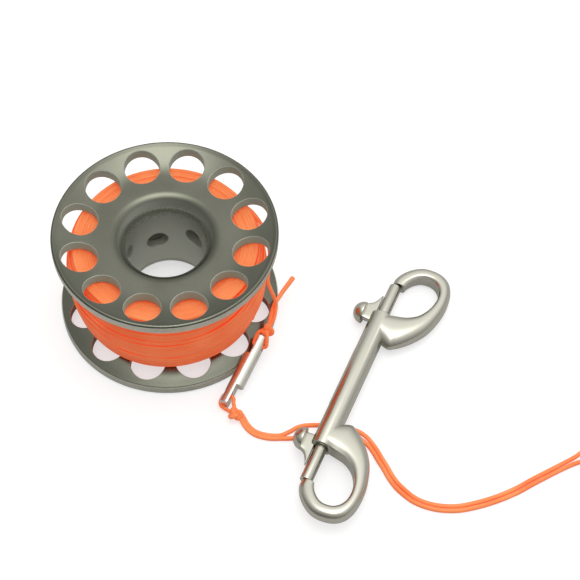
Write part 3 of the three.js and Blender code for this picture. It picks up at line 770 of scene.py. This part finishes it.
def drilled_sector(centre_angle):
    """The part of a flange round one hole, as rings of points. They run from the
    edge of the sector over the outer face to the hole, down its wall, and back
    over the inner face. Each point lies on its face at its own radius."""
    a, r = patch_edge(math.pi / hole_count, lip_foot, web_foot, columns // hole_count, 16)
    edge = joined(r * np.cos(a), r * np.sin(a))
    toward = unit(edge - [hole_circle, 0])
    mouth = [hole_circle, 0] + (hole_radius + hole_bevel) * toward
    shares = np.array([1.0, 0.8, 0.6, 0.4, 0.2, 0.08, 0.0])[:, None, None]
    flat = np.concatenate([mouth + shares * (edge - mouth), [[hole_circle, 0] + hole_radius * toward]])
    r = np.linalg.norm(flat, axis=-1)
    sunk = np.array([*[0] * len(shares), hole_bevel])[:, None]
    heights = outer_face(r) - sunk, inner_face(r) + sunk
    outer, inner = (joined(flat[..., 0], flat[..., 1], z) for z in heights)
    rings = np.concatenate([outer, inner[::-1]])
    c, s = math.cos(centre_angle), math.sin(centre_angle)
    return rings @ np.array([[c, s, 0], [-s, c, 0], [0, 0, 1]])


def drilled_hub(centre_angle, hole_angle, hole_height):
    """The part of the hub round one cross hole: over the bore's wall to the
    hole, through it, and back over the hub's outer side."""
    edge = joined(*patch_edge(math.pi / hub_hole_count, hub_band, -hub_band, columns // hub_hole_count, 14))
    rings = []
    for radius, hole, shares in (
            (bore_radius, hub_hole_radius + hole_bevel, [1.0, 0.75, 0.5, 0.25, 0.0]),
            (bore_radius + hole_bevel, hub_hole_radius, [0.0]),
            (hub_radius, hub_hole_radius, [0.0, 0.3, 0.65, 1.0])):
        toward = unit((edge - [hole_angle - centre_angle, hole_height]) * [radius, 1])
        ring = joined(
            np.arcsin(hole * toward[:, 0] / radius) + hole_angle - centre_angle,
            hole * toward[:, 1] + hole_height)
        spot = ring + np.array(shares)[:, None, None] * (edge - ring)
        turn = spot[..., 0] + centre_angle
        rings.append(joined(radius * np.cos(turn), radius * np.sin(turn), middle + spot[..., 1]))
    return np.concatenate(rings)


column_angles = hole_phase - math.pi / hole_count + full_turn(columns)
tooth_columns = columns * teeth_per_column * 2
tooth_angles = column_angles[0] + full_turn(tooth_columns)


def mouth_profile(throat):
    """From a flange's face round the mouth into the bore, whose straight wall
    starts at the height of the throat."""
    start = outer_face(mouth_start)
    rounded = bezier((mouth_start, start), (mouth_start - mouth_lead, start - mouth_drop),
                     (bore_radius, throat + throat_lead), (bore_radius, throat), mouth_steps)
    return [(web_foot, outer_face(web_foot)), (19.5, outer_face(19.5)), *rounded,
            (bore_radius, throat - 0.7), (bore_radius, 29.0), (bore_radius, middle + hub_band)]


fillet_end = hub_radius + fillet_radius
fillet_top = inner_face(fillet_end)
fillet = bezier((hub_radius, fillet_top - fillet_radius), (hub_radius, fillet_top - 0.9),
                (fillet_end - 1.3, inner_face(fillet_end - 1.3)), (fillet_end, fillet_top), fillet_steps)
hub_profile = [(hub_radius, middle + hub_band), *fillet, (web_foot, inner_face(web_foot))]

# The rim is a fine straight knurl, every other column of which is a groove.
coarse = np.rint(np.arange(tooth_columns + 1) / (2 * teeth_per_column)).astype(int)
grooves = np.arange(tooth_columns + 1) % 2 * tooth_depth
t = np.linspace(0, math.pi / 2, 8)
outer_edge = joined(
    flange_radius - edge_radius * (1 - np.sin(t)), spool_height - edge_radius * (1 - np.cos(t)))
t = np.linspace(0, math.radians(75.4), 7)  # its end, with cosine 0.25 and sine 0.968, meets the face
inner_edge_start = inner_face(flange_radius - 0.75 * edge_radius) + 0.968 * edge_radius
inner_edge = joined(
    flange_radius - edge_radius * (1 - np.cos(t)), inner_edge_start - edge_radius * np.sin(t))
rim_middle = [flange_radius, (spool_height - edge_radius + inner_edge_start) / 2]
rim_profile = np.vstack([outer_edge, rim_middle, inner_edge])
groove_share = np.array([*[0] * 6, 0.4, 1, 1, 1, 0.4, *[0] * 5])[:, None]
rim_reach = rim_profile[:, :1] - grooves * groove_share
rim = joined(rim_reach * np.cos(tooth_angles), rim_reach * np.sin(tooth_angles), rim_profile[:, 1:])
lip = [(lip_foot, outer_face(lip_foot)), (flange_radius - edge_radius - 0.1, spool_height - 0.04)]
land = turned_band(lip, column_angles)
under = turned_band([(lip_foot, inner_face(lip_foot))], column_angles)
rim_band = np.concatenate([land[1:, coarse], rim, under[:, coarse]])

half_spool = [land, rim_band, turned_band(hub_profile, column_angles)]
half_spool += [drilled_sector(hole_phase + i * 2 * math.pi / hole_count) for i in range(hole_count)]
mirrored = [*half_spool, turned_band(mouth_profile(lower_throat), column_angles)]
mirrored = [grid * [1, 1, -1] + [0, 0, spool_height] for grid in mirrored]
half_spool.append(turned_band(mouth_profile(upper_throat), column_angles))
hub_walls = [
    drilled_hub(hole_phase + turn, hub_hole_phase + turn, hub_hole_stagger * (1 if i % 2 else -1))
    for i, turn in enumerate(full_turn(hub_hole_count)[:-1])]
spool_grids = [grid + spool_axis for grid in (*half_spool, *mirrored, *hub_walls)]
spool = surface_piece("spool", spool_grids, anodised, crease=28)
spool.data.materials.append(painted_light_hole_oxide)
spool.data.materials.append(painted_highlight_oxide)

# The walls of the flange holes are dull and painted in a lighter, cooler colour as painted light. The
# knurl's lighter oxide, a painted highlight, is also on the holes' bevels and in the lower mouth of the
# bore.
face_centres = np.empty(3 * len(spool.data.polygons), np.float32)
spool.data.polygons.foreach_get("center", face_centres)
face_centres = face_centres.reshape(-1, 3) / MM - spool_axis
hole_angles = hole_phase + full_turn(hole_count)
hole_centres = hole_circle * joined(np.cos(hole_angles), np.sin(hole_angles))
from_hole = np.linalg.norm(face_centres[:, None, :2] - hole_centres, axis=2).min(axis=1)
from_axis = np.linalg.norm(face_centres[:, :2], axis=1)
from_middle = abs(face_centres[:, 2] - middle)
margin = 0.03
painted_light_walls = from_hole < hole_radius + margin
painted_highlight_faces = (from_axis > flange_radius - 0.25) & (from_middle < spool_height - 0.5 - middle)
painted_highlight_faces |= (from_hole > hole_radius + margin) & (from_hole < hole_mouth - margin)
painted_highlight_faces |= (from_axis < bore_radius + 0.2) & (face_centres[:, 2] < spool_height - lower_throat + 0.7)
spool.data.polygons.foreach_set("material_index", (painted_light_walls + 2 * painted_highlight_faces).astype(np.int32))
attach(spool, "spool")
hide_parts("spool_body")


# Snap body
# One investment casting in stainless steel: a round shaft, drilled blind from
# both ends, with a hook at each end that comes round to meet the bolt. It is
# tumbled and buffed, which leaves soft reflections and fine scratches.
snap_place, shaft_radius, shaft_half = spool_axis + [66.3, -7.6, 0.0], 3.6, 26.4
snap_drop, drop_place = 1.5, 14.7  # the upper end is this much lower, this far past the shaft
snap_tilt = math.asin(snap_drop / (shaft_half + drop_place))
snap_rise = shaft_radius * math.cos(snap_tilt) + shaft_half * math.sin(snap_tilt)
hook_reach, hook_width, hook_height, nose_share = 22.9, 18.1, 7.0, 0.558
blind_radius, blind_wall, slot_width, slot_start, shaft_bevel = 2.3, 1.5, 2.8, 10.95, 0.4

cast_steel, tree = new_material("buffed cast stainless steel")
place = add_node(tree, "TexCoord")["Object"]
stretched = add_node(tree, "Mapping", {"Vector": place, "Scale": (1.0, 0.06, 1.0)})["Vector"]
brushing, ripple = noise(tree, stretched, 2600.0, 3.0, 0.6), noise(tree, place, 130.0, 2.0)
finish_material(tree, {
    "Base Color": linear("#c2c0b4"), "Metallic": 1.0, "Roughness": fade(tree, brushing, 0, 1, 0.17, 0.26),
    "Normal": bumped(tree, maths(tree, "MULTIPLY_ADD", ripple, 6.0, brushing), 0.12, 0.00003)})


def in_snap(grid):
    """From the snap's own axes into the model. X is aside towards the hooks, Y
    along the shaft and Z up; the upper end is tilted down by the snap's tilt."""
    c, s = math.cos(snap_tilt), math.sin(snap_tilt)
    return snap_place + [0, 0, snap_rise] + grid @ np.array([[1, 0, 0], [0, c, -s], [0, s, c]])


# Each row of a hook runs from the eye's side to the outer side. The numbers are
# shares of the hook's reach past the shaft's end and of its width, and the
# heights are shares of its height. The back is half of its section.
eye_side = [
    [-0.044, 0], [0, 0.21], [0.022, 0.331], [0.053, 0.453], [0.124, 0.591], [0.212, 0.68],
    [0.319, 0.746], [0.434, 0.785], [0.549, 0.796], [0.655, 0.768], [0.739, 0.702],
    [0.792, 0.602], [0.805, 0.486], [0.788, 0.376], [0.73, 0.276], [0.655, 0.204],
    [0.597, 0.171], [0.558, 0.16],
]
outer_side = [
    [-0.363, 0], [-0.473, 0.298], [-0.442, 0.42], [-0.345, 0.569], [-0.199, 0.729], [-0.018, 0.867],
    [0.186, 0.95], [0.381, 0.994], [0.575, 0.994], [0.743, 0.956], [0.881, 0.867],
    [0.969, 0.713], [1, 0.514], [0.982, 0.32], [0.907, 0.155], [0.796, 0.022],
    [0.664, -0.061], [0.558, -0.066],
]
hook_heights = [
    1, 1, 0.99, 0.98, 0.96, 0.94, 0.92, 0.9, 0.88, 0.86, 0.84, 0.82, 0.8, 0.77, 0.74, 0.7, 0.66, 0.63,
]
hook_back = [[-1, 0.75], [-0.7, 0.95], [-0.3, 1], [0.2, 0.95], [0.6, 0.75], [0.88, 0.42], [1, 0]]


def hook_surface(rows=86, columns=48):
    """A hook's skin. Its section is a smooth back over a flat wall at the eye."""
    inner, outer = through(eye_side, rows), through(outer_side, rows)
    height = through(np.array(hook_heights)[:, None], rows)[:, 0]
    back = through(hook_back + [[x, -y] for x, y in hook_back[-2::-1]], columns)
    section = np.vstack([back, [[-1, -0.4], [-1, 0.4], [-1, 0.75]]])
    share = (1 + section[:, 0]) / 2
    spread = inner[:, None] + (outer - inner)[:, None] * share[None, :, None]
    rise = height[:, None] * section[None, :, 1] * hook_height / 2
    return capped(joined(spread[..., 1] * hook_width, shaft_half + spread[..., 0] * hook_reach, rise))


def bore_and_slot():
    """The hollow in one end of the shaft. Its section is a circle, and from the
    slot's start on a keyhole that runs out to the side away from the hooks."""
    arc_points, slot_points, past_side, past_end = 57, 7, 2, 0.3
    half_open = math.asin(slot_width / 2 / blind_radius)
    turn = np.concatenate([
        np.linspace(half_open - math.pi, math.pi - half_open, arc_points),
        np.linspace(math.pi - half_open, math.pi + half_open, slot_points + 2)[1:]])
    circle = blind_radius * joined(np.cos(turn), np.sin(turn))
    keyhole = circle.copy()
    keyhole[arc_points:-1] = joined(
        -shaft_radius - past_side, np.linspace(slot_width / 2, -slot_width / 2, slot_points))
    mouth = shaft_half + past_end
    rings = [(blind_wall, 0 * circle), (blind_wall, circle), (slot_start, circle), (slot_start, keyhole),
             (mouth, keyhole), (mouth, 0 * circle)]
    return np.stack([joined(ring[:, 0], y, ring[:, 1]) for y, ring in rings])


shaft = along_y(turned_rod(rod_profile(-shaft_half, shaft_half, shaft_radius, shaft_bevel), 96))
snap_body = surface_piece("snap_casting", [in_snap(shaft)], cast_steel)
shaped(snap_body, [
    (operation, surface_piece("tool", [in_snap(tool * [1, end, 1])], cast_steel))
    for operation, tool in (("UNION", hook_surface()), ("DIFFERENCE", bore_and_slot())) for end in (1, -1)])
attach(snap_body, "snap")
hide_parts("snap_body")


# Bolts
# Each is a turned stainless rod with a rounded nose, which slides in its bore.
bolt_radius, bolt_length, bolt_bevel, bolt_gap = 2.0, 18.7, 0.3, 0.3
drawn_steel, tree = new_material("drawn stainless steel")
finish_material(tree, {"Base Color": linear("#c3c1b6"), "Metallic": 1.0, "Roughness": 0.24})
bolt_tip = shaft_half + hook_reach * nose_share - bolt_gap
bolt_tail = bolt_tip - bolt_length
for name, end in (("upper", 1), ("lower", -1)):
    rod = turned_rod(rod_profile(bolt_tail, bolt_tip, bolt_radius, bolt_bevel), 64)
    bolt = surface_piece(name + "_bolt_rod", [in_snap(along_y(rod) * [1, end, 1])], drawn_steel)
    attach(bolt, name + "_bolt_slider")
    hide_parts(name + "_bolt")


# Thumb knobs
# Each is a cast half ball on a web that leans towards the nose of the bolt. A
# stud under the web is pressed into a hole in the bolt.
knob_radius, knob_seat, knob_centre = 3.6, 5.8, shaft_half - 0.9
web_foot_gap, web_back, web_length, web_half = 0.3, knob_centre - 2.65, 11.0, 1.1
stud_radius, stud_reach, stud_bevel = 0.6, 1.2, 0.1
web_front = [[1, 0], [0.98, 0.07], [0.81, 0.28], [0.66, 0.58], [0.58, 1]]


def web_surface(rows=28, columns=32):
    """A plate with rounded edges. At each distance from the bolt its section is
    |x|^5 + |y|^5 = 1, between the web's straight back and its hollow front."""
    front = through(web_front, rows)
    web_foot_at = bolt_radius + web_foot_gap
    aside = -(web_foot_at + front[:, 1] * (knob_seat - web_foot_at))
    back, nose = web_back + 0.03 * front[:, 1] * web_length, web_back + front[:, 0] * web_length
    turn = full_turn(columns)
    along, up = (np.sign(w) * np.abs(w) ** 0.4 for w in (np.cos(turn), np.sin(turn)))
    reach = ((back + nose) / 2)[:, None] + ((nose - back) / 2)[:, None] * along
    return capped(joined(aside[:, None], reach, web_half * up))


quarter_turn = np.linspace(0, math.pi / 2, 22)
ball = joined(-knob_seat - knob_radius * np.sin(quarter_turn), knob_radius * np.cos(quarter_turn))
foot = [[-knob_seat, 0], [-knob_seat, knob_radius - 0.35], [-knob_seat - 0.06, knob_radius - 0.12]]
ball = turned_rod(np.vstack([foot, ball[1:]]), 64)
stud = rod_profile(-bolt_radius - stud_reach, -bolt_radius + stud_reach, stud_radius, stud_bevel)
stud = turned_rod(stud, 20)
knob_grids = [web_surface(), ball + [0, knob_centre, 0], stud + [0, knob_centre, 0]]
for name, end in (("upper", 1), ("lower", -1)):
    knob = surface_piece(name + "_thumb_piece", [in_snap(g * [1, end, 1]) for g in knob_grids], cast_steel)
    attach(knob, name + "_bolt_slider")
    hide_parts(name + "_thumb_knob")


# Springs
# Each is coiled from hard-drawn wire and lies in its bore behind the bolt.
wire_radius, coils, coil_steps, spring_gap = 0.2, 11, 20, 0.5
spring_steel, tree = new_material("spring steel wire")
finish_material(tree, {"Base Color": linear("#a9a9a2"), "Metallic": 1.0, "Roughness": 0.3})
share = np.linspace(0, 1, coils * coil_steps + 1)
turn = share * coils * 2 * math.pi
low, high = blind_wall + spring_gap, bolt_tail - spring_gap
coil_radius = bolt_radius - wire_radius
helix = joined(coil_radius * np.cos(turn), low + (high - low) * share, coil_radius * np.sin(turn))
shaft_direction = in_snap(np.array([0.0, 1.0, 0.0])) - in_snap(np.zeros(3))
for name, end in (("upper", 1), ("lower", -1)):
    wire = cord_surface(in_snap(helix * [1, end, 1]), wire_radius, shaft_direction, 10)[..., :3]
    spring = surface_piece(name + "_spring_coil", [wire], spring_steel)
    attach(spring, "snap")
    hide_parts(name + "_spring")
    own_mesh(spring)


# Studio
# A pale floor under soft light from above, as in a product photograph.
floor_reach, floor_depth = 3000.0, 0.01
paper, tree = new_material("white studio paper")
matt = add_node(tree, "BsdfDiffuse", {"Color": linear("#b6b6b6")})["BSDF"]
ray = add_node(tree, "LightPath")
mirrored_ray = maths(tree, "ADD", ray["Is Glossy Ray"], ray["Is Transmission Ray"])
seen = maths(tree, "MULTIPLY", ray["Is Camera Ray"], 0.62)
lift = maths(tree, "MULTIPLY_ADD", mirrored_ray, 0.1, seen)
glow = add_node(tree, "Emission", {"Color": linear("#ffffff"), "Strength": lift})["Emission"]
add_node(tree, "OutputMaterial", {"Surface": add_node(tree, "AddShader", {0: matt, 1: glow})[0]})
sides = np.array([-floor_reach, floor_reach])
floor = surface_piece("floor", [joined(sides, sides[:, None], -floor_depth)], paper)

studio = bpy.data.worlds.new("studio")
bpy.context.scene.world = studio
studio.use_nodes = True
tree = studio.node_tree
tree.nodes.clear()
direction = add_node(tree, "TexCoord")["Generated"]
rise = add_node(tree, "SeparateXYZ", {"Vector": direction})["Z"]
soft_box = colour_ramp(tree, rise, [(position, (level, level, level * 0.985, 1)) for position, level in (
    (0.0, 0.083), (0.42, 0.131), (0.707, 0.202), (0.866, 0.25), (0.94, 0.405), (0.978, 0.762), (1.0, 1.0))])
toward_back = add_node(
    tree, "VectorMath", {0: direction, 1: (0.105, 0.58, 0.0)}, operation="DOT_PRODUCT")["Value"]
strength = maths(tree, "MULTIPLY_ADD", toward_back, 4.2, 4.2)
around = add_node(tree, "Background", {"Color": soft_box, "Strength": strength})["Background"]
white = add_node(tree, "Background", {"Color": linear("#ffffff")})["Background"]
camera_ray = add_node(tree, "LightPath")["Is Camera Ray"]
sky = add_node(tree, "MixShader", {0: camera_ray, 1: around, 2: white})[0]
add_node(tree, "OutputWorld", {"Surface": sky})

bpy.context.scene.view_settings.view_transform = "Standard"
